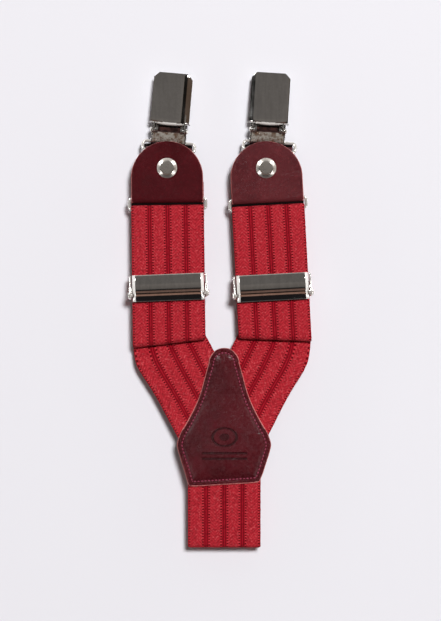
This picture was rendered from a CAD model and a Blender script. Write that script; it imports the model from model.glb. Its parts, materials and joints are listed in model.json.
# Y-back suspenders, folded flat, seen from straight above.
import json
import math
import random
from contextlib import contextmanager

import bmesh
import bpy
from mathutils import Matrix, Vector


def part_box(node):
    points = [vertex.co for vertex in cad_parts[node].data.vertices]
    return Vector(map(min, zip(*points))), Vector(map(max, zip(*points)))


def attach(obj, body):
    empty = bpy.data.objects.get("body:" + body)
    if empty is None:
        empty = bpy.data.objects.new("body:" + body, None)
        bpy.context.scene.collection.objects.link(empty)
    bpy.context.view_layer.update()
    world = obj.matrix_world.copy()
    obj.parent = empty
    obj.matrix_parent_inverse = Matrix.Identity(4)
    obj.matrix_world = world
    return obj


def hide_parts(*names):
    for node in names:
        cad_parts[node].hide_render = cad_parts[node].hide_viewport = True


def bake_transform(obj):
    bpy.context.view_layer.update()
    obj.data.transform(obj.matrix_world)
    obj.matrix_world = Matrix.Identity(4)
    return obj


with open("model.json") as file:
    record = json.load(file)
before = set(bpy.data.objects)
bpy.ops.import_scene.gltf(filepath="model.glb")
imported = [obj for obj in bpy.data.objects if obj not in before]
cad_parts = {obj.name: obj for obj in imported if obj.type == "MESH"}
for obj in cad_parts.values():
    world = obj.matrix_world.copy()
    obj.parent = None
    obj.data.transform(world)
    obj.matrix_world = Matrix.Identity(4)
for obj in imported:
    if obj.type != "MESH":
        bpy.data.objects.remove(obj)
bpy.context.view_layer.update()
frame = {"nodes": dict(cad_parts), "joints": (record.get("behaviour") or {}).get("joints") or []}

# ---- Sizes, in metres ----
MM = 0.001
WEB_W = 34.8 * MM          # webbing width
WEB_T = 1.2 * MM           # webbing thickness
PITCH = 1.3 * MM           # from one folded pass to the next
STRIPE = 8.7 * MM          # spacing of the woven stripes
WIRE_R = 0.75 * MM         # ring wire radius
EYE_R = 0.85 * MM          # inner radius of an eye round the wire
TAB_W = 34.5 * MM
TAB_T = 1.25 * MM
RING_BARS = 5 * MM         # lower ring, between its two bars
PIN_AT = (5.0, 2.9)        # mm, the lever's pin in the clip's frame
PATCH_TILT = math.radians(4)
JOIN_Y = -63.96 * MM       # where the straps meet the back strap
LAYER_Z = 10.5 * MM        # underside of the strap layer there
FRONT = ("left", "right")
ENDS = ("left", "right", "back")
STEEP = 0.72               # a face whose normal's z is below this counts as steep

JOINTS = {j["name"]: j for j in frame["joints"]}
BACK_X = sum(p[0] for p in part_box("back_strap")) / 2


def joint_at(name):
    return Vector(JOINTS[name]["pos_m"])


def joint_axis(name):
    return Vector(JOINTS[name]["axis"]).normalized()


def matrix_of(origin, x, y):
    m = Matrix((x, y, x.cross(y))).transposed().to_4x4()
    m.translation = origin
    return m


def joint_frame(name):
    """A joint's own frame: x along its axis, z up (down where the end lies upside down)."""
    x = joint_axis(name)
    z = Vector((0, 0, 1 if x.x > 0 else -1))
    return matrix_of(joint_at(name), x, z.cross(x).normalized())


def clip_frame(end):
    """The clip's frame: origin on its curl, y towards the jaws."""
    curl = joint_at(f"clip_{end}_hinge")
    v = joint_at(f"lever_{end}_hinge") - curl
    x = joint_axis(f"lever_{end}_hinge")
    pin_y, pin_z = (c * MM for c in PIN_AT)
    return matrix_of(curl, x, (pin_y * v - pin_z * x.cross(v)).normalized())


# ---- Mesh helpers ----

def at(matrix, x, y, z):
    """A place given in mm in a local frame."""
    return matrix @ (Vector((x, y, z)) * MM)


def bell(distance, width):
    return math.exp(-(distance / width) ** 2)


def add_object(name, data):
    ob = bpy.data.objects.new(name, data)
    bpy.context.scene.collection.objects.link(ob)
    return ob


def new_object(name, verts, faces, uvs=None, smooth=True):
    mesh = bpy.data.meshes.new(name)
    mesh.from_pydata([tuple(v) for v in verts], [], faces)
    if uvs is not None:
        layer = mesh.uv_layers.new(name="weave")
        for loop in mesh.loops:
            layer.data[loop.index].uv = uvs[loop.vertex_index]
    mesh.validate()
    mesh.update()
    if smooth:
        mesh.shade_smooth()
    return add_object(name, mesh)


@contextmanager
def mesh_edit(ob):
    """Opens an object's mesh for bmesh work, and writes it back."""
    bm = bmesh.new()
    bm.from_mesh(ob.data)
    yield bm
    bm.to_mesh(ob.data)
    bm.free()


def fix_normals(ob):
    with mesh_edit(ob) as bm:
        bmesh.ops.recalc_face_normals(bm, faces=bm.faces)


def grid_faces(rows, count, closed=False, ring=False, first=0):
    """Quads between rows of count points; closed joins the ends of rows, ring the rows."""
    made = []
    for i in range(rows if ring else rows - 1):
        a, b = first + i * count, first + (i + 1) % rows * count
        for j in range(count if closed else count - 1):
            k = (j + 1) % count
            made.append((a + j, a + k, b + k, b + j))
    return made


def rod_faces(rows, count, first=0):
    """The sides and the two ends of a closed form made of rows of count points."""
    last = first + (rows - 1) * count
    return grid_faces(rows, count, closed=True, first=first) + [
        tuple(first + j for j in range(count)),
        tuple(last + j for j in reversed(range(count)))]


def second_material(ob, test, matrix=Matrix()):
    """Gives the second material to faces, by their middle (local, mm) and how flat they lie."""
    inverse = matrix.inverted()
    for poly in ob.data.polygons:
        if test((inverse @ poly.center) / MM, abs(poly.normal.z)):
            poly.material_index = 1


def add_bevel(ob, width, segments=2, angle=None):
    bevel = ob.modifiers.new("edges", "BEVEL")
    bevel.width = width
    bevel.segments = segments
    bevel.harden_normals = True
    if angle is not None:
        bevel.limit_method = "ANGLE"
        bevel.angle_limit = math.radians(angle)
    return bevel


def apply_modifiers(ob):
    depsgraph = bpy.context.evaluated_depsgraph_get()
    mesh = bpy.data.meshes.new_from_object(ob.evaluated_get(depsgraph))
    old = ob.data
    ob.modifiers.clear()
    ob.data = mesh
    mesh.name = old.name
    bpy.data.meshes.remove(old)


def section_loop(half, t, columns):
    """Closed cross-section of a strip: (place across, place through) going round."""
    r = t / 2
    flat = half - r
    top = [(-flat + 2 * flat * i / columns, r) for i in range(columns + 1)]
    cap = [(flat + r * math.cos(a), r * math.sin(a)) for a in (1.0, 0.5, 0.0, -0.5, -1.0)]
    bottom = [(x, -n) for x, n in reversed(top)]
    return top + cap + bottom + [(-x, -n) for x, n in cap]


def ribbon(name, rows, t, columns=48, relief=None):
    """A strip swept along rows. Each row is (place(x, n) -> point, length along, half width)."""
    verts, uvs = [], []
    for place, along, half in rows:
        loop = section_loop(half, t, columns)
        for x, n in loop:
            lift = relief(x, n, along, half) if relief else 0.0
            p, v = place(x, n + lift)
            verts.append(p)
            uvs.append((x, along + v))
    ob = new_object(name, verts, rod_faces(len(rows), len(loop)), uvs)
    fix_normals(ob)
    return ob


class Path:
    """A side-on route, as y and z in a local frame, with its length so far."""

    def __init__(self, y, z):
        self.points = [(y, z, 0.0, 0.0)]
        self.length = 0.0

    def add(self, y, z, skew=0.0):
        y0, z0 = self.points[-1][:2]
        self.length += math.hypot(y - y0, z - z0)
        self.points.append((y, z, self.length, skew))

    def line(self, y, z, steps, skew=(0.0, 0.0)):
        y0, z0 = self.points[-1][:2]
        for i in range(1, steps + 1):
            f = i / steps
            self.add(y0 + (y - y0) * f, z0 + (z - z0) * f, skew[0] + (skew[1] - skew[0]) * f)

    def turn(self, z, side, steps=10, skew=0.0):
        """Half a circle from the present height to z; side 1 bulges towards +y."""
        y0, z0 = self.points[-1][:2]
        r, mid = (z - z0) / 2, (z + z0) / 2
        for i in range(1, steps + 1):
            a = math.pi * i / steps
            self.add(y0 + side * abs(r) * math.sin(a), mid - r * math.cos(a), skew)

    def rows(self, matrix, half, skew_tan=0.0):
        """Rows for ribbon(), square to the route in the given frame."""
        made = []
        last = len(self.points) - 1
        for i, (y, z, along, skew) in enumerate(self.points):
            before, after = self.points[max(i - 1, 0)], self.points[min(i + 1, last)]
            ty, tz = after[0] - before[0], after[1] - before[1]
            size = math.hypot(ty, tz) or 1.0
            ny, nz = -tz / size, ty / size
            way = -1 if ty < 0 else 1

            def place(x, n, y=y, z=z, ny=ny, nz=nz, skew=skew, way=way):
                shift = skew * skew_tan * x
                point = matrix @ Vector((x, y + ny * n + shift, z + nz * n))
                return point, way * shift

            made.append((place, along, half))
        return made


def wire_loop(name, points, radius, sides=18):
    """A round wire through a closed run of points."""
    verts = []
    count = len(points)
    for i, p in enumerate(points):
        along = (points[(i + 1) % count] - points[(i - 1) % count]).normalized()
        side = along.cross(Vector((0, 0, 1)))
        if side.length < 1e-6:
            side = Vector((1, 0, 0))
        side.normalize()
        up = side.cross(along)
        for j in range(sides):
            a = 2 * math.pi * j / sides
            verts.append(p + radius * (math.cos(a) * side + math.sin(a) * up))
    ob = new_object(name, verts, grid_faces(count, sides, closed=True, ring=True))
    fix_normals(ob)
    return ob


def lathe(name, profile, matrix, steps=72):
    """Turns a profile of (radius, height) points about the frame's z."""
    verts = []
    for i in range(steps):
        a = 2 * math.pi * i / steps
        for r, h in profile:
            verts.append(matrix @ Vector((r * math.cos(a), r * math.sin(a), h)))
    ob = new_object(name, verts, grid_faces(steps, len(profile), ring=True))
    with mesh_edit(ob) as bm:
        bmesh.ops.remove_doubles(bm, verts=bm.verts, dist=1e-6)
        bmesh.ops.recalc_face_normals(bm, faces=bm.faces)
    ob.data.shade_smooth()
    return ob


SAME_POINT = 2e-6          # m: CAD points this close together are one point
FLAT_ANGLE = 1.2           # degrees: CAD edges flatter than this are dissolved
SHARP_ANGLE = 32           # degrees: CAD edges sharper than this are rounded


def refine(node, width, segments=3):
    """A copy of a CAD node with its edges rounded."""
    ob = add_object(node + "_finished", frame["nodes"][node].data.copy())
    with mesh_edit(ob) as bm:
        bmesh.ops.remove_doubles(bm, verts=bm.verts, dist=SAME_POINT)
        bmesh.ops.dissolve_limit(bm, angle_limit=math.radians(FLAT_ANGLE), verts=bm.verts,
            edges=bm.edges)
    ob.data.shade_smooth()
    add_bevel(ob, width, segments, SHARP_ANGLE).use_clamp_overlap = True
    apply_modifiers(ob)
    return ob


def give(ob, *materials):
    ob.data.materials.clear()
    for material in materials:
        ob.data.materials.append(material)


def finish(ob, materials, body, slot, *nodes):
    """Gives a piece its materials, body (None for a blended one), slot and CAD nodes."""
    give(ob, *materials)
    if body:
        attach(ob, body)
    if nodes:
        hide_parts(*nodes)


# ---- Materials ----

class Value:
    """An output of a shader node, which sums can be done with."""

    def __init__(self, shader, socket):
        self.shader = shader
        self.socket = socket

    def __add__(self, other):
        return self.shader.math("ADD", self, other)

    def __sub__(self, other):
        return self.shader.math("SUBTRACT", self, other)

    def __rsub__(self, other):
        return self.shader.math("SUBTRACT", other, self)

    def __mul__(self, other):
        return self.shader.math("MULTIPLY", self, other)

    def __abs__(self):
        return self.shader.math("ABSOLUTE", self)


class Shader:
    """A small helper for building the nodes of a material, or of the world."""

    def __init__(self, name, owner=None, out="Principled BSDF"):
        self.owner = owner or bpy.data.materials.new(name)
        self.owner.use_nodes = True
        self.tree = self.owner.node_tree
        self.out = self.tree.nodes[out]

    def node(self, kind, inputs=(), **values):
        """Adds a node, sets its properties, then feeds its inputs (key or number: value)."""
        made = self.tree.nodes.new(kind)
        for key, value in values.items():
            setattr(made, key, value)
        for key, value in dict(inputs).items():
            self.feed(made.inputs[key], value)
        return made

    def value(self, kind, inputs=(), output=0, **values):
        return Value(self, self.node(kind, inputs, **values).outputs[output])

    def feed(self, socket, value):
        """Sets a socket to a number or a colour, or links a value to it."""
        if isinstance(value, Value):
            self.tree.links.new(value.socket, socket)
        elif isinstance(value, tuple):
            socket.default_value = (*value, 1.0)
        else:
            socket.default_value = value

    def math(self, op, *values):
        return self.value("ShaderNodeMath", enumerate(values), operation=op)

    def split(self, vector):
        return [Value(self, out)
            for out in self.node("ShaderNodeSeparateXYZ", {0: vector}).outputs]

    def band(self, value, low, high, soft):
        """1 where value lies between low and high, with soft edges."""
        up = self.ramp(value, low - soft, low + soft)
        return up - self.ramp(value, high - soft, high + soft)

    def ramp(self, *numbers):
        """A smooth step: value, from low to high, and the two results if not 0 and 1."""
        return self.value("ShaderNodeMapRange", enumerate(numbers),
            interpolation_type="SMOOTHSTEP")

    def mix(self, factor, a, b, kind="MIX"):
        return self.value("ShaderNodeMix", {0: factor, 6: a, 7: b}, 2, data_type="RGBA",
            blend_type=kind)

    def noise(self, scale, detail, rough, vector=None):
        return self.value("ShaderNodeTexNoise", {"Scale": scale, "Detail": detail,
            "Roughness": rough, "Vector": vector or self.place()}, "Fac")

    def place(self):
        return self.value("ShaderNodeTexCoord", output="Object")

    def bump(self, height, distance, strength):
        return self.value("ShaderNodeBump", {"Height": height, "Distance": distance,
            "Strength": strength})

    def set(self, **values):
        """Feeds the main shader node; an underscore in a key stands for a space."""
        for key, value in values.items():
            self.feed(self.out.inputs[key.replace("_", " ")], value)
        return self.owner


WEB_RED = (0.355, 0.013, 0.023)
WEB_DEEP = (0.33, 0.005, 0.015)
WEB_DARK = (0.045, 0.0008, 0.002)
WEB_LIGHT = (0.63, 0.046, 0.060)
WEB_PALE = (0.72, 0.13, 0.14)

# the weave, in mm from the middle of a woven stripe or along the webbing
SOFT = 0.08                # softness of the edges of lines and dots
LINE_AT = (0.34, 0.72)     # dark line each side of a stripe's middle
STRIPE_EDGE = (1.2, 1.45)
DOT_ROW = (1.15, 1.9)
DOT_PITCH, DOT_EDGE = 0.66, (0.26, 0.42)
DOT_STAGGER = 0.3          # between the left and the right half
TWILL_PITCH, TWILL_EDGE = 0.8, (0.22, 0.6)
WARP_PITCH, WARP_EDGE = 0.2, (0.04, 0.17)
WEFT_PITCH, WEFT_EDGE = 0.27, (0.05, 0.22)
SELVAGE_EDGE = (4.2, 4.4)  # from the side of the webbing
SELVAGE_SHIFT = 0.75
WANDER = 0.22              # how far lines and dots stray sideways


def webbing_material():
    s = Shader("webbing")
    uv = s.split(s.value("ShaderNodeUVMap", uv_map="weave"))
    across, along = (value * (1 / MM) for value in uv[:2])
    step = STRIPE / MM
    shifted = across + 2.5 * step
    # distance from the middle of the nearest of the three stripes, or from the selvage
    spread = abs(s.math("MODULO", shifted, step) - step / 2)
    selvage = WEB_W / MM / 2 - abs(across)
    inner = s.ramp(selvage, *SELVAGE_EDGE)
    near = spread * inner + (selvage + SELVAGE_SHIFT) * (1.0 - inner)
    near = near + (s.noise(240, 2, 0.5) - 0.5) * WANDER
    lines = s.band(near, *LINE_AT, SOFT)
    stripe = s.ramp(near, *STRIPE_EDGE, 1.0, 0.0)
    dot_row = s.band(near, *DOT_ROW, SOFT)
    phase = along + s.math("SIGN", across) * DOT_STAGGER
    dots = s.ramp(s.math("PINGPONG", phase, DOT_PITCH), *DOT_EDGE)
    dotted = dot_row * dots
    bright = dot_row * (1.0 - dots)
    # herringbone twill between the stripes
    diagonal = along + s.math("PINGPONG", shifted, step)
    twill = s.ramp(s.math("PINGPONG", diagonal, TWILL_PITCH), *TWILL_EDGE)
    warp = s.ramp(s.math("PINGPONG", across, WARP_PITCH), *WARP_EDGE)
    weft = s.ramp(s.math("PINGPONG", along, WEFT_PITCH), *WEFT_EDGE)
    field = 1.0 - stripe
    fibre = s.noise(2400, 3, 0.65)
    fuzz = s.noise(820, 2, 0.55)
    speck = s.ramp(s.noise(1150, 1, 0.5), 0.55, 0.72)
    cloud = s.noise(60, 3, 0.6)
    weave = (twill * 0.42 + warp * weft * 0.45) * field
    tone = s.mix(weave * 0.9, WEB_RED, WEB_LIGHT)
    for amount, colour in ((speck * field * 0.5, WEB_PALE), (stripe * 0.7, WEB_DEEP),
            (bright * 0.85, WEB_LIGHT), (dotted * 0.95, WEB_DARK), (lines * 0.72, WEB_DARK),
            (s.ramp(fuzz, 0.42, 0.7) * 0.42, WEB_DARK),
            (s.ramp(fibre, 0.4, 0.72) * 0.22, WEB_DEEP),
            (s.ramp(cloud, 0.3, 0.7) * 0.14, WEB_DEEP)):
        tone = s.mix(amount, tone, colour)
    height = (weave * 0.6 + warp * 0.2 + lines * -1.0 + dotted * -0.9 + fibre * 0.3
        + fuzz * 0.4)
    return s.set(Base_Color=tone, Roughness=0.85, Sheen_Weight=0.03, Sheen_Roughness=0.4,
        Specular_IOR_Level=0.07, Normal=s.bump(height, 0.00014, 0.9))


def scaled(colour, k):
    return tuple(c * k for c in colour)


def leather_material(name, base, deep, rough, gloss, motif=False):
    s = Shader(name)
    grain = s.value("ShaderNodeTexVoronoi", {"Scale": 1050, "Vector": s.place()}, "Distance",
        feature="DISTANCE_TO_EDGE")
    pores = s.ramp(grain, 0.0, 0.12)
    creases = s.noise(700, 5, 0.7)
    tone = s.mix(s.ramp(s.noise(55, 4, 0.6), 0.3, 0.7), deep, base)
    tone = s.mix((1.0 - pores) * 0.5, tone, deep)
    tone = s.mix(s.ramp(creases, 0.5, 0.68) * 0.4, tone, scaled(base, 1.6))
    height = pores * 0.5 + creases * 0.9
    if motif:
        mark = motif_mark(s)
        height = height - mark * MOTIF_DEPTH
        tone = s.mix(mark * MOTIF_SHADE, tone, scaled(deep, 0.45))
    return s.set(Base_Color=tone,
        Roughness=s.ramp(creases, 0.3, 0.7, rough - 0.07, rough + 0.1),
        Specular_IOR_Level=gloss, Coat_Weight=gloss * 0.2, Coat_Roughness=0.3,
        Normal=s.bump(height, 0.00013, 0.9))


# the plain debossed mark on the patch, in mm
MOTIF_AT = (1.9, -60.9)    # middle of its oval ring
OVAL = 1.35                # width of the oval against its height
OVAL_RING = (3.9, 4.6)
OVAL_DOT = (1.5, 1.75)
BAR_PLACE = (9.0, 1.3)     # middle of the two bars below the oval, and each bar's offset
BAR_EDGE = (0.3, 0.6)
BAR_END = (10.6, 10.9)
MOTIF_DEPTH = 22.0         # in units of the leather's grain
MOTIF_SHADE = 0.72


def motif_mark(s):
    """A plain pressed mark: an oval ring with a dot in it, and two bars below."""
    x, y = (value * (1 / MM) - middle for value, middle in zip(s.split(s.place()), MOTIF_AT))
    far = s.math("SQRT", s.math("POWER", s.math("DIVIDE", abs(x), OVAL), 2.0)
        + s.math("POWER", abs(y), 2.0))
    ring = s.band(far, *OVAL_RING, 0.15)
    dot = s.ramp(far, *OVAL_DOT, 1.0, 0.0)
    low = abs(abs(y + BAR_PLACE[0]) - BAR_PLACE[1])
    bars = s.ramp(low, *BAR_EDGE, 1.0, 0.0) * s.ramp(abs(x), *BAR_END, 1.0, 0.0)
    return s.math("MAXIMUM", s.math("MAXIMUM", ring, dot), bars)


def metal_material(name, colour, rough, brushed=0.0, metallic=1.0, stain=None, streaks=0.0):
    """Plated or bare metal, with smudges, and where asked brush marks, stains or streaks."""
    s = Shader(name)
    roughness = s.ramp(s.noise(90, 4, 0.65), 0.35, 0.75, rough, rough + 0.09)
    tone = s.mix(s.ramp(s.noise(900, 3, 0.6), 0.3, 0.7), scaled(colour, 0.93), colour)
    if stain:
        tone = s.mix(s.ramp(s.noise(430, 4, 0.7), 0.38, 0.6), tone, stain)
    if streaks:
        stretch = s.node("ShaderNodeVectorMath", {0: s.place()}, operation="MULTIPLY")
        stretch.inputs[1].default_value = (1.0, 0.02, 1.0)
        lines = s.ramp(s.noise(520, 3, 0.6, Value(s, stretch.outputs[0])), 0.35, 0.7)
        tone = s.mix(lines * streaks, tone, scaled(colour, 0.62))
    return s.set(Base_Color=tone, Metallic=metallic, Roughness=roughness,
        Normal=s.bump(s.noise(260, 2, 0.5), 0.00002 + brushed, 0.5))


def matt_material(name, grain, low, high, rough, bump=None, **more):
    """A matt material between two tones; grain is the noise's scale, detail and roughness."""
    s = Shader(name)
    fibre = s.noise(*grain)
    if bump:
        more["Normal"] = s.bump(fibre, *bump)
    return s.set(Base_Color=s.mix(s.ramp(fibre, 0.3, 0.7), low, high), Roughness=rough, **more)


WEBBING = webbing_material()
LEATHER = leather_material("leather", (0.080, 0.0095, 0.0145), (0.045, 0.0045, 0.008), 0.36, 0.36)
PATCH_LEATHER = leather_material("leather_patch", (0.077, 0.0040, 0.0082),
    (0.042, 0.0016, 0.0040), 0.27, 0.26, motif=True)
TAB_LEATHER = {
    "left": leather_material("leather_left", (0.068, 0.0045, 0.0076), (0.042, 0.0022, 0.004),
        0.42, 0.1),
    "right": leather_material("leather_right", (0.104, 0.0145, 0.0185), (0.064, 0.008, 0.011),
        0.36, 0.2),
}
LINING = leather_material("leather_lining", (0.006, 0.003, 0.003), (0.003, 0.0015, 0.0015),
    0.88, 0.1)
EDGE = matt_material("leather_edge", (1500, 4, 0.7), (0.34, 0.06, 0.065), (0.66, 0.24, 0.22),
    0.85, (0.0001, 0.8))
NICKEL = metal_material("nickel", (0.62, 0.60, 0.58), 0.05, streaks=0.3)
LIP = metal_material("nickel_lip", (0.95, 0.93, 0.90), 0.2, metallic=0.3)
WIRE = metal_material("nickel_wire", (0.93, 0.90, 0.86), 0.14, metallic=0.68)
CAP = metal_material("nickel_cap", (0.80, 0.76, 0.71), 0.27, 0.00003)
WORN = metal_material("nickel_worn", (0.66, 0.62, 0.56), 0.22, 0.0001, 0.72, (0.22, 0.13, 0.085))
RECESS = metal_material("nickel_recess", (0.075, 0.032, 0.028), 0.5, 0.0001, 0.3,
    (0.02, 0.010, 0.009))
STEEL = metal_material("steel", (0.42, 0.41, 0.40), 0.22, 0.00002)
THREAD = matt_material("thread", (3000, 2, 0.6), (0.20, 0.015, 0.045), (0.40, 0.06, 0.12),
    0.6, (0.00005, 0.8))
FLOOR = matt_material("studio_floor", (3, 2, 0.5), (0.782, 0.778, 0.824), (0.790, 0.786, 0.832),
    0.9, Specular_IOR_Level=0.1)


# ---- Straps ----

# places along a front end are in its lower ring's frame
FOLD_SKEW = {"left": math.tan(math.radians(6.0)), "right": -math.tan(math.radians(5.2))}
FOLD_Y = {"left": -61.9 * MM, "right": -60.2 * MM}    # lower folds
FOLD_TOP_Y = 9.8 * MM      # upper folds
FOLD_STEP = 0.6 * MM       # the inner folds lie this far inside the lowest one
LAST_FOLD_STEP = 3.5 * MM
STRAP_END_Y = -9.0 * MM    # end of the leaf under the ring
SKEW_FROM = -42 * MM       # the top pass starts to skew towards its fold here
SKEW_GONE = 16 * MM        # the skew has gone again this far past the fold
GROOVE_AT, GROOVE_WIDTH, GROOVE_DEPTH = 0.6 * MM, 0.3 * MM, 0.09 * MM
SELVAGE_WIDTH, SELVAGE_DEPTH = 1.2 * MM, 0.12 * MM
# the slanted stretch, from the fold to the patch
SLANT_ANGLE = {"left": math.radians(27.4), "right": -math.radians(30.0)}
SLANT_SLIP = {"left": 0.15 * MM, "right": -0.15 * MM}    # sideways slip inside the fold
SLANT_INSET = 1.6 * MM     # it starts this far inside the fold
SLANT_LENGTH = 52 * MM
SLANT_BULGE = 1.45 * MM    # how far the outer edge swells just past the fold
BULGE_Y, BULGE_WIDTH = -28.5 * MM, 8.5 * MM
RISE_Y, RISE_LENGTH = -15.5 * MM, 11 * MM    # where it rises to the height of the join
MIDDLE_GAP = 0.15 * MM


def slant_height(y):
    """Height of the underside of the slanted stretch at a place along the object."""
    low = 4 * PITCH
    plane = LAYER_Z + (JOIN_Y - y) * math.tan(PATCH_TILT)
    f = min(max((RISE_Y - y) / RISE_LENGTH, 0.0), 1.0)
    f = f * f * (3 - 2 * f)
    return low + (plane - low) * f


def web_relief(x, n, along, half):
    """Grooves of the woven stripes, and a thinner selvage, on both faces."""
    near = abs((x + 2.5 * STRIPE) % STRIPE - STRIPE / 2)
    groove = bell(near - GROOVE_AT, GROOVE_WIDTH) * GROOVE_DEPTH
    edge = bell(half - abs(x), SELVAGE_WIDTH) * SELVAGE_DEPTH
    return -math.copysign(groove + edge, n) if abs(n) > 0.3 * WEB_T else 0.0


def slanted_rows(side, base, total, fan=14, straight=34):
    """Rows of the slanted stretch: a fan about the strap's inner edge, then straight on."""
    half = WEB_W / 2
    turning = 1 if side == "left" else -1
    slip = SLANT_SLIP[side]
    start_y = FOLD_Y[side] + SLANT_INSET
    start = base @ Vector((-slip, start_y, 0))
    pivot = base @ Vector((turning * half - slip, start_y, 0))
    inner = BACK_X - turning * MIDDLE_GAP
    rows = []
    for i in range(1, fan + straight + 1):
        bend = SLANT_ANGLE[side] * min(i / fan, 1.0)
        run = max(i - fan, 0) / straight * SLANT_LENGTH
        heading = Matrix.Rotation(bend, 3, "Z") @ (start - pivot)
        across = -heading.normalized() * turning
        down = Vector((across.y, -across.x, 0))
        middle = pivot + heading + down * run

        def place(x, n, middle=middle, across=across):
            p = middle + across * x
            outer = ((half - turning * x) / (2 * half)) ** 2
            p.x -= turning * SLANT_BULGE * outer * bell(p.y - BULGE_Y, BULGE_WIDTH)
            p.x = min(p.x, inner) if side == "left" else max(p.x, inner)
            p.y = max(p.y, JOIN_Y)
            p.z = slant_height(p.y) + WEB_T / 2 + n
            return p, 0.0

        rows.append((place, total + abs(bend) * half + run, half))
    return rows


def shoulder_strap(side):
    """The long strap: round the ring, folded five passes high, then slanting to the patch."""
    base = joint_frame(f"lower_ring_{side}_hinge")
    eye = EYE_R + WEB_T / 2
    fold_y = FOLD_Y[side]
    level = [i * PITCH + WEB_T / 2 - base.translation.z for i in range(6)]
    half = WEB_W / 2
    path = Path(STRAP_END_Y, -eye)
    path.line(0, -eye, 4)
    path.turn(eye, 1, 12)
    path.line(SKEW_FROM, eye, 60)
    path.line(fold_y, eye, 28, (0.0, 1.0))
    path.turn(level[5], -1, 14, 1.0)
    path.line(fold_y + SKEW_GONE, level[5], 8, (1.0, 0.0))
    path.line(FOLD_TOP_Y, level[5], 14)
    path.turn(level[0], 1, 16)
    for i in range(4):
        low = i % 2 == 0
        path.line(fold_y + FOLD_STEP if low else FOLD_TOP_Y, level[i], 16)
        path.turn(level[i + 1], -1 if low else 1, 8)
    path.line(fold_y + LAST_FOLD_STEP, level[4], 16)
    rows = path.rows(base, half, FOLD_SKEW[side]) + slanted_rows(side, base, path.length)
    ob = ribbon(f"strap_webbing_{side}", rows, WEB_T, 80, web_relief)
    finish(ob, [WEBBING], "straps", "webbing", f"shoulder_strap_{side}")


TAIL_T = 1.08 * MM
TAIL_END_Y = -9.1 * MM
TAIL_BAR_Y = (-37.6 + 6.3) * MM    # where the tail turns round the adjuster's bar
TAIL_LEAF = 9 * MM         # length of the sewn leaf above
TAIL_CLEAR = 0.05 * MM


def strap_tail(side):
    base = joint_frame(f"lower_ring_{side}_hinge")
    low = -EYE_R - WEB_T / 2
    high = EYE_R - TAIL_CLEAR - TAIL_T / 2
    path = Path(TAIL_END_Y, low)
    path.line(TAIL_BAR_Y, low, 24)
    path.turn(high, -1, 8)
    path.line(TAIL_BAR_Y + TAIL_LEAF, high, 8)
    ob = ribbon(f"strap_tail_webbing_{side}", path.rows(base, WEB_W / 2), TAIL_T, 64)
    finish(ob, [WEBBING], None, "webbing", f"strap_tail_{side}")
    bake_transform(ob)


BACK_LEVELS = (10.2, 7.35, 5.95)   # mm, undersides of the back strap's passes
BACK_RING_Z = 3.6 * MM
BACK_CREST_Y = -83 * MM
BACK_TURN_Y = -77.6 * MM
BACK_END_Y = (-89.6 + 14) * MM
BACK_FOLD_INSET = 2.0 * MM


def back_strap():
    half_t = WEB_T / 2
    fold_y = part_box("back_strap")[0][1] + BACK_FOLD_INSET
    level = [z * MM + half_t for z in BACK_LEVELS]
    rise = (JOIN_Y - BACK_CREST_Y) * math.tan(PATCH_TILT)
    path = Path(JOIN_Y - 0.3 * MM, LAYER_Z + half_t)
    path.line(BACK_CREST_Y, LAYER_Z + rise + half_t, 20)
    path.line(fold_y, level[0], 34)
    path.turn(level[1], -1, 14)
    path.line(BACK_TURN_Y, level[1], 24)
    path.turn(level[2], 1, 8)
    path.line(fold_y, level[2], 24)
    path.turn(BACK_RING_Z, -1, 10)
    path.line(BACK_END_Y, BACK_RING_Z, 24)
    rows = path.rows(Matrix.Translation((BACK_X, 0, 0)), WEB_W / 2)
    ob = ribbon("back_strap_webbing", rows, WEB_T, 80, web_relief)
    finish(ob, [WEBBING], "straps", "webbing", "back_strap")


# ---- Patch, in mm from the middle of its top ----

PATCH_CROWN = 7.4          # radius of the rounded top
PATCH_SIDE = [(12.4, 8.8), (21.5, 11.3), (28, 13.9), (35.3, 17.7), (39.9, 20.4),
    (44.5, 22.2), (47.2, 22.5), (51.4, 21.4), (58.3, 19.2), (63.6, 17.5)]    # depth, half width
PATCH_CORNER = [(-16.9, -64.9), (-15.8, -65.3)]
PATCH_END_Y = -65.5
PATCH_SKEW = math.tan(math.radians(3.4))    # of the lower edge
PATCH_SKEW_FROM = -60.0
PATCH_APEX_Y = -18.36 * MM         # the top, along the object
PATCH_SPINE = (-52.0, -20.0)       # the dome's ridge
PATCH_THICK = 1.2
PATCH_BASE = WEB_T / MM + 0.1      # underside over the join
RIM = 0.38                         # the soft rounding of the edge
DOME, DOME_FROM, DOME_EASE = 1.8, 2.8, 3.1
STITCH_INSET = 2.35
STITCH_PITCH = 1.68
STITCH_GAP = 2.6                   # no stitch over a longer step, at a corner
STITCH_R = 0.33
OUTLINE_PITCH = 0.75
PATCH_RINGS = [0.0, 0.012, 0.03, 0.05, 0.075, 0.1, 0.125, 0.15, 0.18, 0.22, 0.27, 0.32, 0.38,
    0.44, 0.5, 0.56, 0.62, 0.68, 0.74, 0.8, 0.86, 0.92, 0.96]    # shares of the way to the ridge
PATCH_CUT = 0.36           # the cut edge shows this far in


def smooth_line(points, per):
    """Catmull-Rom through points."""
    made = []
    for i in range(len(points) - 1):
        p0 = points[max(i - 1, 0)]
        p1, p2 = points[i], points[i + 1]
        p3 = points[min(i + 2, len(points) - 1)]
        for k in range(per):
            t = k / per
            made.append(0.5 * ((2 * p1) + (p2 - p0) * t + (2 * p0 - 5 * p1 + 4 * p2 - p3) * t * t
                + (3 * p1 - p0 - 3 * p2 + p3) * t ** 3))
    made.append(points[-1])
    return made


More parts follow.
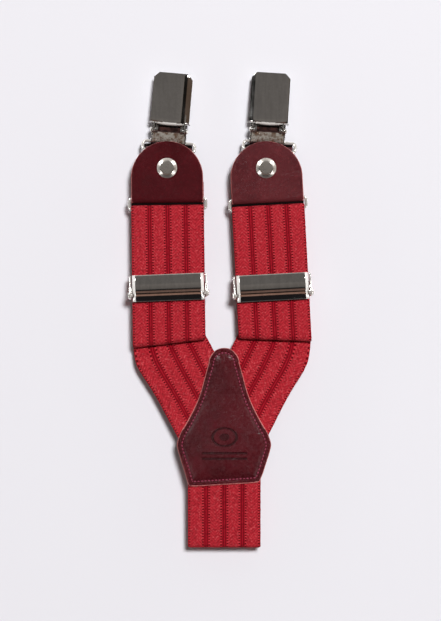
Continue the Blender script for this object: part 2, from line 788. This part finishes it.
def patch_outline(inset=0.0):
    """Closed outline of the patch, anticlockwise from the middle of its top."""
    r = PATCH_CROWN
    arc = [Vector((-r * math.sin(a), -r + r * math.cos(a)))
        for a in [math.radians(d) for d in range(0, 95, 9)]]
    left = smooth_line(arc + [Vector((-w, -d)) for d, w in PATCH_SIDE], 4)
    bottom = [Vector((x, PATCH_END_Y)) for x in range(-14, 1, 2)]
    half = left + [Vector(p) for p in PATCH_CORNER] + bottom
    points = half + [Vector((-p.x, p.y)) for p in reversed(half[1:-1])]
    for p in points:
        if p.y < PATCH_SKEW_FROM:
            p.y += p.x * PATCH_SKEW * min((PATCH_SKEW_FROM - p.y) / 5.0, 1.0)
    if inset:
        count = len(points)
        ways = [(points[(i + 1) % count] - points[i - 1]).normalized() for i in range(count)]
        points = [p + Vector((-t.y, t.x)) * inset for p, t in zip(points, ways)]
    return points


def even_points(points, pitch):
    """Points at an even spacing round a closed outline."""
    count = len(points)
    lengths = [(points[(i + 1) % count] - points[i]).length for i in range(count)]
    total = sum(lengths)
    steps = max(3, round(total / pitch))
    made, i, passed = [], 0, 0.0
    for k in range(steps):
        want = total * k / steps
        while passed + lengths[i] < want:
            passed += lengths[i]
            i += 1
        f = (want - passed) / lengths[i]
        made.append(points[i].lerp(points[(i + 1) % count], f))
    return made


def patch_matrix():
    top = Vector((BACK_X - 0.1 * MM, JOIN_Y, LAYER_Z))
    tilt = Matrix.Rotation(-PATCH_TILT, 4, "X")
    return Matrix.Translation(top) @ tilt @ Matrix.Translation((0, PATCH_APEX_Y - JOIN_Y, 0))


def towards_spine(p, f):
    low, high = PATCH_SPINE
    return p.lerp(Vector((0.0, min(max(p.y, low), high))), f)


def patch_height(depth):
    """Height of the patch's face above its edge, against the distance in from the edge."""
    dome = DOME * (1 - math.exp(-max(depth - DOME_FROM, 0) / DOME_EASE))
    rim = RIM * (1 - math.exp(-depth / 0.3))
    return rim + dome - 0.4 * bell(depth - STITCH_INSET, 0.5)


def outline_depth(p, outline):
    best = 1e9
    count = len(outline)
    for i in range(count):
        a, b = outline[i], outline[(i + 1) % count]
        ab = b - a
        t = min(max((p - a).dot(ab) / max(ab.length_squared, 1e-12), 0), 1)
        best = min(best, (p - a - ab * t).length)
    return best


def leather_patch():
    """The domed front leather, with its stitching channel and a soft edge."""
    outline = even_points(patch_outline(), OUTLINE_PITCH)
    matrix = patch_matrix()
    count = len(outline)
    verts = []
    for f in PATCH_RINGS:
        for p in outline:
            q = towards_spine(p, f)
            h = PATCH_THICK + patch_height(outline_depth(q, outline)) - RIM
            verts.append(at(matrix, q.x, q.y, PATCH_BASE + h))
    under = len(verts)
    faces = grid_faces(len(PATCH_RINGS), count, closed=True)
    faces.append(tuple(range(under - count, under)))
    for h, f in ((PATCH_THICK - 0.75, 0.0), (0.12, 0.0), (0.0, PATCH_RINGS[1])):
        for p in outline:
            q = towards_spine(p, f)
            verts.append(at(matrix, q.x, q.y, PATCH_BASE + h))
    low = under + 2 * count
    for j in range(count):
        k = (j + 1) % count
        for a, b in ((0, under), (under, under + count), (under + count, low)):
            faces.append((a + k, a + j, b + j, b + k))
    faces.append(tuple(low + j for j in reversed(range(count))))
    ob = new_object("patch_leather", verts, faces)
    with mesh_edit(ob) as bm:
        bmesh.ops.triangulate(bm, faces=[f for f in bm.faces if len(f.verts) > 4])
        bmesh.ops.recalc_face_normals(bm, faces=bm.faces)
    finish(ob, [PATCH_LEATHER, EDGE], "straps", "leather", "patch_front")
    second_material(ob, lambda p, flat: flat < STEEP
        or outline_depth(p.to_2d(), outline) < PATCH_CUT, matrix)
    ob.data.shade_smooth()


def patch_stitches():
    line = even_points(patch_outline(inset=STITCH_INSET), STITCH_PITCH)
    matrix = patch_matrix()
    verts, faces = [], []
    for i, a in enumerate(line):
        b = line[(i + 1) % len(line)]
        if (b - a).length <= STITCH_GAP:
            add_stitch(verts, faces, a.lerp(b, 0.18), a.lerp(b, 0.82), matrix)
    ob = new_object("patch_stitching", verts, faces)
    fix_normals(ob)
    finish(ob, [THREAD], "straps", "webbing")


def add_stitch(verts, faces, a, b, matrix, sides=8, rings=6):
    """One stitch: a short bent capsule, its ends dipping into the leather."""
    h = PATCH_BASE + PATCH_THICK - RIM + patch_height(STITCH_INSET) + 0.1
    along = (b - a).normalized()
    side = Vector((-along.y, along.x))
    first = len(verts)
    for i in range(rings + 1):
        f = i / rings
        c = a.lerp(b, f)
        arch = math.sin(math.pi * f)
        r = STITCH_R * (0.45 + 0.55 * arch ** 0.6)
        z = h + 0.16 * arch - 0.12
        for j in range(sides):
            t = 2 * math.pi * j / sides
            p = c + side * (r * math.cos(t))
            verts.append(at(matrix, p.x, p.y, z + r * math.sin(t)))
    faces += rod_faces(rings + 1, sides, first)


# ---- Leather ends ----

TAB_TOP = 15.2 * MM        # where the rounded end starts
TAB_BACK_Y = 21.4 * MM     # end of the back leaf
TAB_INSET = 0.02 * MM
RIVET_Y = 19.6 * MM
DIMPLE_DEPTH, DIMPLE_R, DIMPLE_WIDTH = -0.22 * MM, 5 * MM, 2.4 * MM    # round the rivet
TAB_SWELL = 0.16 * MM
RING_SHIFT = {"left": 0.6 * MM, "right": 1.9 * MM}    # the top ring sits off centre


def leather_tab(side):
    """The tab: up from behind, round the lower ring and on to its rounded end."""
    base = joint_frame(f"lower_ring_{side}_hinge")
    eye = EYE_R + TAB_T / 2
    radius = TAB_W / 2
    path = Path(TAB_BACK_Y, -eye)
    path.line(RING_BARS, -eye, 12)
    path.turn(eye, -1, 14)
    turned = path.length
    path.line(TAB_TOP, eye, 16)
    top = TAB_TOP + radius
    steps = 44
    for i in range(1, steps + 1):
        a = math.pi / 2 * i / steps
        path.add(TAB_TOP + (radius - TAB_INSET) * math.sin(a), eye)
    rows = []
    for (place, along, half), (y, z, _, _) in zip(path.rows(base, radius), path.points):
        if y > TAB_TOP:
            half = math.sqrt(max(radius ** 2 - (y - TAB_TOP) ** 2, (0.75 * MM) ** 2))
        if z < 0:
            half = min(half, radius - 0.3 * MM) - (0.4 * MM if y > TAB_TOP else 0.0)
        rows.append((place, along, half))

    def relief(x, n, along, half):
        if n <= 0:
            return 0.0
        y = along - turned + RING_BARS
        dimple = DIMPLE_DEPTH * bell(math.hypot(x, y - RIVET_Y) - DIMPLE_R, DIMPLE_WIDTH)
        return dimple + TAB_SWELL * math.sin(min(max(y / top, 0.0), 1.0) * math.pi)

    ob = ribbon(f"tab_leather_{side}", rows, TAB_T, 40, relief)
    finish(ob, [TAB_LEATHER[side], EDGE], f"tab_{side}", "leather", f"leather_tab_{side}")
    second_material(ob, lambda p, flat: flat < STEEP and p.z > -3
        and (p.y > 4.2 or abs(p.x) > radius / MM - 0.5), base)


GAP_Y, GAP_Z = (2.0 * MM, 3.9 * MM), 0.35 * MM
GAP_HALF, GAP_T = 17.2 * MM, 0.9 * MM
LINING_Y = (12 * MM, 22.6 * MM, 31.8 * MM)    # start, bend and end
LINING_DROP = 5.5 * MM
LINING_HALF = 11.55 * MM
LINING_DARK_Y = 29.2       # mm


def tab_strips(side):
    """The dark lining that shows in the tab's turn, and the back leaf behind the top ring."""
    base = joint_frame(f"lower_ring_{side}_hinge")
    low = -EYE_R - TAB_T / 2
    path = Path(LINING_Y[0], low)
    path.line(LINING_Y[1], low, 8)
    path.line(LINING_Y[2], -EYE_R - LINING_DROP - TAB_T / 2, 14)
    shift = base @ Matrix.Translation((RING_SHIFT[side], 0, 0))
    leaf = ribbon(f"tab_lining_{side}", path.rows(shift, LINING_HALF), TAB_T * 0.96, 24)
    finish(leaf, [LEATHER, LINING], f"tab_{side}", "leather")
    second_material(leaf, lambda p, flat: p.y > LINING_DARK_Y, base)
    path = Path(GAP_Y[0], GAP_Z)
    path.line(GAP_Y[1], GAP_Z, 4)
    gap = ribbon(f"tab_gap_{side}", path.rows(base, GAP_HALF), GAP_T, 8)
    finish(gap, [LINING], f"tab_{side}", "leather")


RIVET_HEIGHT = 1.35 * MM
RIVET_SHAPE = [(0.0, 1.33), (2.2, 1.325), (3.0, 1.31), (3.25, 1.27), (3.45, 1.16), (3.9, 0.86),
    (4.4, 0.5), (4.7, 0.3), (4.86, 0.16), (4.9, 0.05), (4.88, -0.04), (4.7, -0.08),
    (1.8, -0.08), (1.8, -4.2), (0.0, -4.2)]    # mm, radius and height over the leather


def rivet(end, body):
    (x0, y0, z0), (x1, y1, z1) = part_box(f"rivet_cap_{end}")
    middle = Vector(((x0 + x1) / 2, (y0 + y1) / 2, 0))
    up = 1 if end != "back" else -1
    matrix = Matrix.Translation(middle) @ Matrix.Diagonal((1, up, up, 1))
    face = (z1 if up > 0 else -z0) - RIVET_HEIGHT
    profile = [(r * MM, h * MM + face) for r, h in RIVET_SHAPE]
    ob = lathe(f"rivet_{end}_finished", profile, matrix)
    finish(ob, [CAP], body, "nickel", f"rivet_cap_{end}")


def wire_ring(name, matrix, width, height, corner, node):
    """A rectangular ring with rounded corners, riding on the body named as its node."""
    arcs = []
    for q in range(4):
        cx = (1 if q in (0, 3) else -1) * (width / 2 - corner)
        cy = (1 if q < 2 else -1) * (height / 2 - corner)
        turns = [math.pi / 2 * (q + k / 8) for k in range(9)]
        arcs.append([matrix @ Vector((cx + corner * math.cos(a), cy + corner * math.sin(a), 0))
            for a in turns])
    points = []
    for q, arc in enumerate(arcs):
        goal = arcs[(q + 1) % 4][0]
        points += arc + [arc[-1].lerp(goal, k / 6) for k in range(1, 6)]
    finish(wire_loop(name, points, WIRE_R), [WIRE], node, "nickel", node)


LOWER_RING = (36.7 * MM, RING_BARS, 1.4 * MM)    # width, height, corner
TOP_RING = (25 * MM, 5.3 * MM, 1.9 * MM)


def front_end(side):
    base = joint_frame(f"lower_ring_{side}_hinge")
    leather_tab(side)
    tab_strips(side)
    rivet(side, f"tab_{side}")
    wire_ring(f"lower_ring_{side}_wire", base @ Matrix.Translation((0, RING_BARS / 2, 0)),
        *LOWER_RING, f"lower_ring_{side}")
    loop = refine(f"ring_loop_{side}", 0.12 * MM, 2)
    finish(loop, [LEATHER], f"tab_{side}", "leather", f"ring_loop_{side}")


def top_ring(end):
    start = joint_at(f"top_ring_{end}_hinge")
    x = joint_axis(f"top_ring_{end}_hinge")
    up = joint_at(f"clip_{end}_hinge") - start
    y = (up - x * up.dot(x)).normalized()
    matrix = matrix_of(start + y * TOP_RING[1] / 2, x, y)
    wire_ring(f"top_ring_{end}_wire", matrix, *TOP_RING, f"top_ring_{end}")


# ---- Clips, in mm in the clip's frame ----

LEVER_Y = (8.0, 33.7)
LEVER_HALF = 9.3
LEVER_TOP = 5.2
LEVER_LIP = 1.4            # radius of the rolled lower lip
LEVER_LIP_TURN = 105       # degrees
LEVER_CUT = 2.5            # size of the cut corners at the tip
LEVER_BOW = 1.2            # how far the lip bows at its middle
LEVER_FLOOR = 0.9          # lower edge of the sides
LEVER_T, SADDLE_T = 0.5, 0.3
ARM_X, ARM_T = 7.3, 0.6
ARM_R = 1.45               # of the arm's eye round the pin
ARM_SHAPE = [(9.5, 1.3), (13.0, 1.6), (13.0, 4.5), (9.2, 4.5)]
# how far each side of the lever's face curves down, and how sharply: (left, right)
EDGE_CURVE = {"left": ((0.35, 4.0), (1.9, 3.4)), "right": ((1.35, 3.9), (0.4, 4.0)),
    "back": ((1.2, 3.6), (1.2, 3.6))}


def lever_drop(x, end):
    """How far the lever's face has curved down at a place across it."""
    drop, power = EDGE_CURVE[end][0 if x < 0 else 1]
    return drop * min(abs(x) / LEVER_HALF, 1.0) ** power


def lever_rows():
    """Rows along the lever, from its lip to its tip: (place along, drop, half width)."""
    rows = []
    for i in range(9):
        a = math.radians(LEVER_LIP_TURN) * (1 - i / 8)
        rows.append((LEVER_LIP - LEVER_LIP * math.sin(a), -LEVER_LIP * (1 - math.cos(a)),
            LEVER_HALF))
    straight = LEVER_Y[1] - LEVER_Y[0] - LEVER_CUT
    for i in range(1, 15):
        rows.append((LEVER_LIP + (straight - LEVER_LIP) * i / 14, 0.0, LEVER_HALF))
    for i in range(1, 7):
        f = i / 6
        rows.append((straight + LEVER_CUT * f, -0.35 * f ** 3, LEVER_HALF - 2.4 * f))
    return rows


def clip_lever(end):
    """The pressed cap: nearly flat across, rounded down at its sides, its lower lip rolled."""
    matrix = clip_frame(end)
    across = [math.sin(math.pi / 2 * i / 26) for i in range(-26, 27)]
    verts = []
    for along, drop, half in lever_rows():
        line = [(x * half, LEVER_TOP - lever_drop(x * half, end) + drop) for x in across]
        floor = max(LEVER_FLOOR, LEVER_FLOOR + drop)
        line = [(-half, floor)] + [(x, max(z, floor)) for x, z in line] + [(half, floor)]
        for x, z in line:
            curve = LEVER_BOW * (abs(x) / LEVER_HALF) ** 2 * max(0.0, 1 - along / 6)
            verts.append(at(matrix, x, LEVER_Y[0] + along + curve - LEVER_BOW / 2, z))
    ob = shell(f"lever_{end}_cap", verts, len(across) + 2, LEVER_T, matrix)
    finish(ob, [NICKEL, LIP], f"lever_{end}", "nickel", f"clip_lever_{end}")
    second_material(ob, lambda p, flat: p.y < LEVER_Y[0] + 0.45, matrix)
    eye = [math.radians(90 + 180 * i / 12) for i in range(13)]
    outline = [(PIN_AT[0] + ARM_R * math.cos(a), PIN_AT[1] + ARM_R * math.sin(a)) for a in eye]
    plate_pair(f"lever_{end}_arm", outline + ARM_SHAPE, ARM_X, ARM_T, matrix, f"lever_{end}")


SADDLE_VIEW = [(-0.6, 1.35), (0.2, 1.72), (1.0, 1.95), (2.0, 2.15), (3.0, 2.32), (3.9, 2.4),
    (4.5, 2.25), (4.95, 1.8), (5.3, 1.2), (5.8, 0.8), (7.2, 0.6)]    # side view
SADDLE_HALF = 7.65
SADDLE_LIFT = 0.35         # of its sides
RECESS_Y = 4.25            # beyond this the sheet lies in the dark under the lever
DENT_SEED, DENTS = 7, 16


def base_saddle(end):
    """The base's worn upper sheet, from the curl up to its crest beside the pins."""
    matrix = clip_frame(end)
    side_view = SADDLE_VIEW
    if end == "back":
        side_view = side_view[3:]    # kept clear of the tab when everything swings
    line = smooth_line([Vector(p) for p in side_view], 4)
    rng = random.Random(DENT_SEED)
    dents = [(rng.uniform(-6, 6), rng.uniform(0.5, 4.0), rng.uniform(-0.10, 0.12),
        rng.uniform(0.7, 1.9)) for _ in range(DENTS)]
    verts = []
    columns = 44
    for p in line:
        for j in range(columns + 1):
            x = -SADDLE_HALF + 2 * SADDLE_HALF * j / columns
            dent = sum(h * math.exp(-((x - cx) ** 2 + (p.x - cy) ** 2) / r ** 2)
                for cx, cy, h, r in dents)
            lift = SADDLE_LIFT * (abs(x) / SADDLE_HALF) ** 4
            verts.append(at(matrix, x, p.x, p.y + dent + lift))
    ob = shell(f"base_{end}_sheet", verts, columns + 1, SADDLE_T, matrix)
    finish(ob, [WORN, RECESS], f"clip_{end}", "nickel")
    second_material(ob, lambda p, flat: p.y > RECESS_Y, matrix)


def cut_box(ob, matrix, low, high):
    """Cuts a box, given in a local frame in mm, out of an object."""
    xs, ys, zs = zip(low, high)
    corners = [at(matrix, x, y, z) for x in xs for y in ys for z in zs]
    faces = [(0, 1, 3, 2), (4, 6, 7, 5), (0, 4, 5, 1), (2, 3, 7, 6), (0, 2, 6, 4), (1, 5, 7, 3)]
    box = new_object("cutter", corners, faces, smooth=False)
    fix_normals(box)
    cut = ob.modifiers.new("cut", "BOOLEAN")
    cut.operation = "DIFFERENCE"
    cut.solver = "EXACT"
    cut.object = box
    apply_modifiers(ob)
    mesh = box.data
    bpy.data.objects.remove(box)
    bpy.data.meshes.remove(mesh)


def plate_pair(name, outline, x, thick, matrix, body):
    """Two flat plates standing at -x and x (mm), from their outline in y and z."""
    for letter, middle in (("a", -x), ("b", x)):
        verts = [at(matrix, middle + side * thick / 2, y, z)
            for side in (-1, 1) for y, z in outline]
        ob = new_object(f"{name}_{letter}", verts, rod_faces(2, len(outline)))
        fix_normals(ob)
        add_bevel(ob, 0.12 * MM)
        apply_modifiers(ob)
        finish(ob, [NICKEL], body, "nickel")


def shell(name, verts, columns, thick, matrix):
    """A bent sheet from its rows of points, given its thickness inwards, with a soft edge."""
    ob = new_object(name, verts, grid_faces(len(verts) // columns, columns))
    with mesh_edit(ob) as bm:
        bmesh.ops.recalc_face_normals(bm, faces=bm.faces)
        up = matrix.to_3x3() @ Vector((0, 0, 1))
        middle = sum((f.normal * f.calc_area() for f in bm.faces), Vector())
        if middle.dot(up) < 0:
            bmesh.ops.reverse_faces(bm, faces=bm.faces)
    solid = ob.modifiers.new("thickness", "SOLIDIFY")
    solid.thickness = thick * MM
    solid.offset = -1
    add_bevel(ob, 0.1 * MM, angle=50)
    ob.data.shade_smooth()
    apply_modifiers(ob)
    return ob


def cad_pieces(table, end, matrix):
    """Finished copies of CAD nodes; what would clash or show through is cut off them."""
    for piece, body, width, material, slot, cuts in table:
        node = f"{piece}_{end}"
        ob = refine(node, width * MM)
        for low, high in cuts:
            cut_box(ob, matrix, low, high)
        finish(ob, [material], f"{body}_{end}", slot, node)


# node, body, rounding in mm, material, slot, boxes cut away
CLIP_PIECES = (("clip_base", "clip", 0.12, NICKEL, "nickel", ()),
    ("clip_pin", "clip", 0.12, WIRE, "nickel", [((-6.9, 0, 0), (6.9, 8, 6))]),
    ("clip_spring", "clip", 0.05, STEEL, "steel", ()),
    ("clip_jaw", "jaw", 0.1, STEEL, "steel", [((-5.4, 2, -1), (5.4, 7.6, 6))]))
ADJUSTER_PIECES = (
    ("adjuster_frame", "adjuster", 0.38, WIRE, "nickel", [((-30, 9.3, -9), (30, 20, 5))]),
    ("adjuster_bar", "adjuster", 0.08, STEEL, "steel",
        [((-30, 5, -9), (-17.3, 20, 5)), ((17.3, 5, -9), (30, 20, 5))]),
    ("adjuster_pin", "adjuster", 0.15, WIRE, "nickel", ()))


def clip(end):
    clip_lever(end)
    base_saddle(end)
    cad_pieces(CLIP_PIECES, end, clip_frame(end))


# ---- Adjusters, in mm in the cover hinge's frame ----

COVER_Y = (-3.15, 9.55)
COVER_ARCH = 10.5
COVER_TOP = 2.1
COVER_FACE = 15.6          # half of the arched face, without its end flanges
COVER_T = 0.55
FLANGE = ((0.08, 0.02), (0.18, 0.09), (0.55, 0.38), (1.0, 0.74), (1.4, 1.06), (1.54, 1.25))
LUG_X, LUG_T, LUG_R = 16.75, 0.6, 1.25


def adjuster_cover(side):
    """The arched cover, its ends bent down as bright flanges."""
    matrix = joint_frame(f"cover_{side}_hinge")
    middle = (COVER_Y[0] + COVER_Y[1]) / 2
    reach = (COVER_Y[1] - COVER_Y[0]) / 2
    right = [(COVER_FACE * (1 - i / 8), 0.0) for i in reversed(range(8))]
    right += [(COVER_FACE + out, -drop) for out, drop in FLANGE]
    across = [(-x, z) for x, z in reversed(right)] + [(0.0, 0.0)] + right
    steps = 40
    verts = []
    for i in range(steps + 1):
        y = -reach + 2 * reach * i / steps
        arch = COVER_TOP - COVER_ARCH + math.sqrt(COVER_ARCH ** 2 - y ** 2)
        # the flanges fade out towards the cam edge, which swings down to the webbing
        flange = min(max((y + reach) / 2.5, 0.05), 1.0)
        verts += [at(matrix, x, middle + y, arch + z * flange) for x, z in across]
    ob = shell(f"cover_{side}_shell", verts, len(across), COVER_T, matrix)
    finish(ob, [NICKEL, LIP], f"cover_{side}", "nickel", f"adjuster_cover_{side}")
    second_material(ob, lambda p, flat: abs(p.x) > COVER_FACE + 0.12, matrix)
    turns = [math.pi * 2 * i / 16 for i in range(16)]
    outline = [(LUG_R * math.cos(a), LUG_R * math.sin(a)) for a in turns]
    plate_pair(f"cover_{side}_lug", outline, LUG_X, LUG_T, matrix, f"cover_{side}")


def adjuster(side):
    adjuster_cover(side)
    cad_pieces(ADJUSTER_PIECES, side, joint_frame(f"cover_{side}_hinge"))


def hidden_back_end():
    for node, width in (("leather_tab_back", 0.25), ("ring_loop_back", 0.12),
            ("patch_back", 0.25)):
        ob = refine(node, width * MM, 2)
        finish(ob, [LEATHER, EDGE], "straps", "leather", node)
        second_material(ob, lambda p, flat: flat < 0.3)
    rivet("back", "straps")


# ---- Studio ----

FLOOR_HALF = 3.0
FLOOR_Z = -0.0002
KEY_LIGHT = ("key_light", (0.52, 0.78, 3.0), 0.55, 99.0)    # name, place, size, power
# seen only as glints in the metal and a sheen on the leather
GLINT_LIGHTS = (("low_light_left", (-1.08, -0.63, 0.83), 0.30, 3.5),
    ("low_light_right", (1.08, -0.63, 0.83), 0.30, 3.5),
    ("flank_light_left", (-0.97, 1.00, 0.78), 0.30, 15.0),
    ("flank_light_right", (0.97, 1.00, 0.78), 0.30, 11.0))
# bands of the room that the metal reflects: place (0 low, 1 high) and colour
HORIZON = ((0.0, (0.34, 0.33, 0.32)), (0.22, (0.34, 0.33, 0.32)), (0.42, (0.88, 0.86, 0.83)),
    (1.0, (0.92, 0.90, 0.87)))
HORIZON_EDGE = (0.36, 0.26)
ROOM_BANDS = ((0.0, (0.017, 0.015, 0.016)), (0.165, (0.017, 0.015, 0.016)),
    (0.183, (0.42, 0.25, 0.19)), (0.236, (0.30, 0.17, 0.125)), (0.25, (0.012, 0.010, 0.010)),
    (0.288, (0.012, 0.010, 0.010)), (0.302, (0.23, 0.142, 0.112)), (0.37, (0.20, 0.122, 0.098)),
    (0.388, (0.022, 0.020, 0.019)), (0.435, (0.022, 0.020, 0.019)),
    (0.452, (0.145, 0.137, 0.130)), (0.5, (0.170, 0.157, 0.146)), (0.655, (0.212, 0.196, 0.184)),
    (0.695, (0.170, 0.160, 0.152)), (1.0, (0.170, 0.160, 0.152)))
SIDE_BANDS = ((0.0, (0.03, 0.028, 0.027)), (0.24, (0.03, 0.028, 0.027)), (0.26, (1.0, 1.0, 1.0)),
    (0.64, (1.0, 1.0, 1.0)), (0.665, (1.25, 1.2, 1.15)), (0.68, (0.06, 0.055, 0.05)),
    (0.79, (0.05, 0.045, 0.04)), (0.81, (0.62, 0.46, 0.36)), (1.0, (0.62, 0.46, 0.36)))


def studio_world():
    """A soft room: bright low down all round, a grey panel overhead, dark bands to one side."""
    world = bpy.data.worlds.new("studio_world")
    bpy.context.scene.world = world
    s = Shader("studio_world", world, "Background")
    x, y, z = s.split(s.value("ShaderNodeTexCoord", output="Generated"))

    def bands(marks, direction):
        """A colour for each place along a direction, from -1 to 1."""
        place = s.value("ShaderNodeMapRange", {0: direction, 1: -1.0})
        made = s.node("ShaderNodeValToRGB", {0: place})
        elements = made.color_ramp.elements
        while len(elements) > 1:
            elements.remove(elements[0])
        elements[0].position, elements[0].color = marks[0][0], (*marks[0][1], 1)
        for position, colour in marks[1:]:
            elements.new(position).color = (*colour, 1)
        return Value(s, made.outputs[0])

    over = s.mix(1.0, bands(ROOM_BANDS, y), bands(SIDE_BANDS, x), "MULTIPLY")
    s.set(Color=s.mix(s.ramp(z, *HORIZON_EDGE), over, bands(HORIZON, y)), Strength=1.0)


def add_light(name, place, size, power):
    data = bpy.data.lights.new(name, "AREA")
    data.shape = "RECTANGLE"
    data.size = data.size_y = size
    data.energy = power
    ob = add_object(name, data)
    ob.location = place
    ob.rotation_euler = (-Vector(place)).to_track_quat("-Z", "Y").to_euler()
    return ob


def studio():
    size = FLOOR_HALF
    floor = new_object("studio_floor", [(-size, -size, 0), (size, -size, 0), (size, size, 0),
        (-size, size, 0)], [(0, 1, 2, 3)], smooth=False)
    floor.location.z = FLOOR_Z
    give(floor, FLOOR)
    add_light(*KEY_LIGHT).visible_glossy = False
    for light in GLINT_LIGHTS:
        add_light(*light).visible_diffuse = False
    studio_world()
    view = bpy.context.scene.view_settings
    view.view_transform = "Standard"
    view.look = "None"


SENSOR = 36                # mm
CAMERA_AT = (0.0, -0.0004, 1.0)
FRAME_HEIGHT = 0.2977      # height of the picture at the level of the straps
STRAP_LEVEL = 0.011


def camera():
    data = bpy.data.cameras.new("camera")
    data.sensor_width = SENSOR
    data.lens = SENSOR * (CAMERA_AT[2] - STRAP_LEVEL) / FRAME_HEIGHT
    data.clip_start, data.clip_end = 0.01, 20
    ob = add_object("camera", data)
    ob.location = CAMERA_AT
    bpy.context.scene.camera = ob


camera()
studio()
for side in FRONT:
    shoulder_strap(side)
    strap_tail(side)
    front_end(side)
    adjuster(side)
back_strap()
leather_patch()
patch_stitches()
for end in ENDS:
    top_ring(end)
    clip(end)
hidden_back_end()
for end in ENDS:
    give(frame["nodes"][f"rivet_base_{end}"], STEEL)
